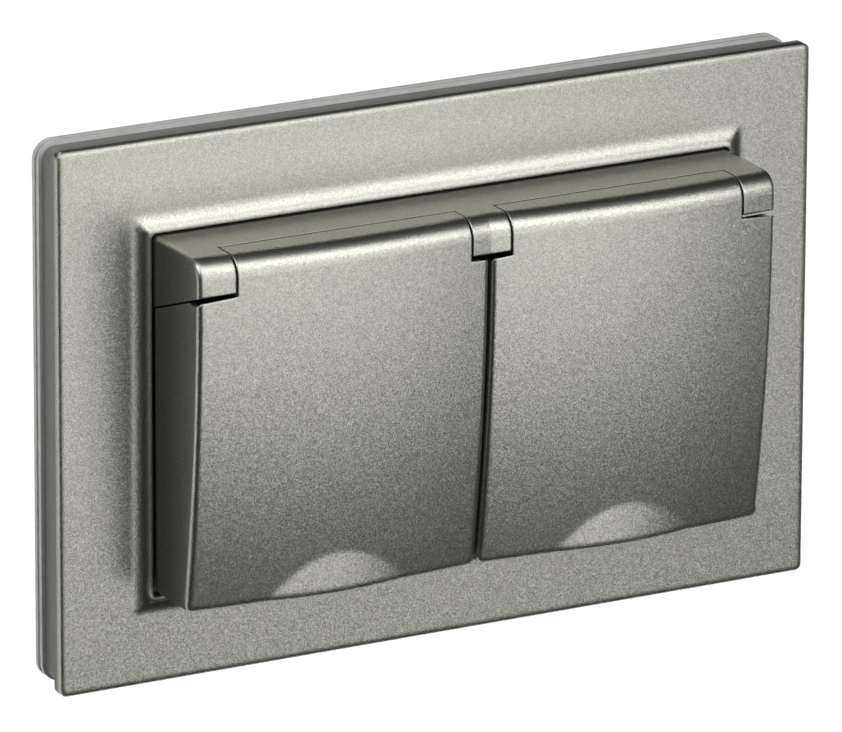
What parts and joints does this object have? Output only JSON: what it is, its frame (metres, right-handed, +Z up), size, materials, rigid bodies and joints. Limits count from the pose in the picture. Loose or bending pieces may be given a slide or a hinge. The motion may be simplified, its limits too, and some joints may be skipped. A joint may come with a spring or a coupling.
{
  "type": "double weatherproof socket",
  "caption": "Flush double earthed wall socket with sprung hinged flaps over round plug recesses, a metallic plate and a sealing gasket.",
  "frame": {"origin": "centre of the wall plane, midway between the two box screws", "axes": "+X right along the plate seen from the front, +Y into the wall, +Z up"},
  "size_m": [0.1264, 0.0471, 0.084],
  "materials": {
    "metallic_lacquer": "metallic lacquer with fine flake on moulded plastic",
    "grey_plastic": "satin moulded",
    "clear_rubber": "milky translucent elastomer",
    "black_rubber": "matt",
    "insert_plastic": "satin moulded",
    "base_plastic": "matt moulded",
    "bright_steel": "zinc plated",
    "spring_steel": "drawn wire",
    "zinc_steel": "passivated zinc",
    "tinned_brass": "tinned",
    "contact_brass": "rolled"
  },
  "bodies": {
    "frame": {"front_plate": "metallic_lacquer", "backing_frame": "grey_plastic", "wall_gasket": "clear_rubber", "cover_carrier": "metallic_lacquer", "left_hinge_pin": "bright_steel", "right_hinge_pin": "bright_steel", "left_torsion_spring": "spring_steel", "right_torsion_spring": "spring_steel", "left_socket_insert": "insert_plastic", "right_socket_insert": "insert_plastic", "left_earth_bracket": "tinned_brass", "right_earth_bracket": "tinned_brass", "centre_screws": "bright_steel", "support_strap": "zinc_steel", "strap_rivets": "bright_steel", "front_fixing_screws": "bright_steel", "socket_base": "base_plastic", "line_contact_bar": "contact_brass", "neutral_contact_bar": "contact_brass", "earth_strap": "contact_brass", "line_terminal": "contact_brass", "earth_terminal": "contact_brass", "neutral_terminal": "contact_brass", "terminal_springs": "spring_steel"},
    "left_flap": {"left_flap": "metallic_lacquer", "left_flap_seal": "black_rubber"},
    "right_flap": {"right_flap": "metallic_lacquer", "right_flap_seal": "black_rubber"}
  },
  "joints": [
    {"name": "left_flap_hinge", "type": "hinge", "parent": "frame", "child": "left_flap", "pos_m": [-0.02433, -0.02255, 0.0247], "axis": [-1, 0, 0], "range_deg": [0, 110], "stiffness_Nm_per_rad": 0.01, "springref_deg": -34.38, "deforming": ["left_torsion_spring"]},
    {"name": "right_flap_hinge", "type": "hinge", "parent": "frame", "child": "right_flap", "pos_m": [0.02433, -0.02255, 0.0247], "axis": [-1, 0, 0], "range_deg": [0, 110], "stiffness_Nm_per_rad": 0.01, "springref_deg": -34.38, "deforming": ["right_torsion_spring"]}
  ]
}
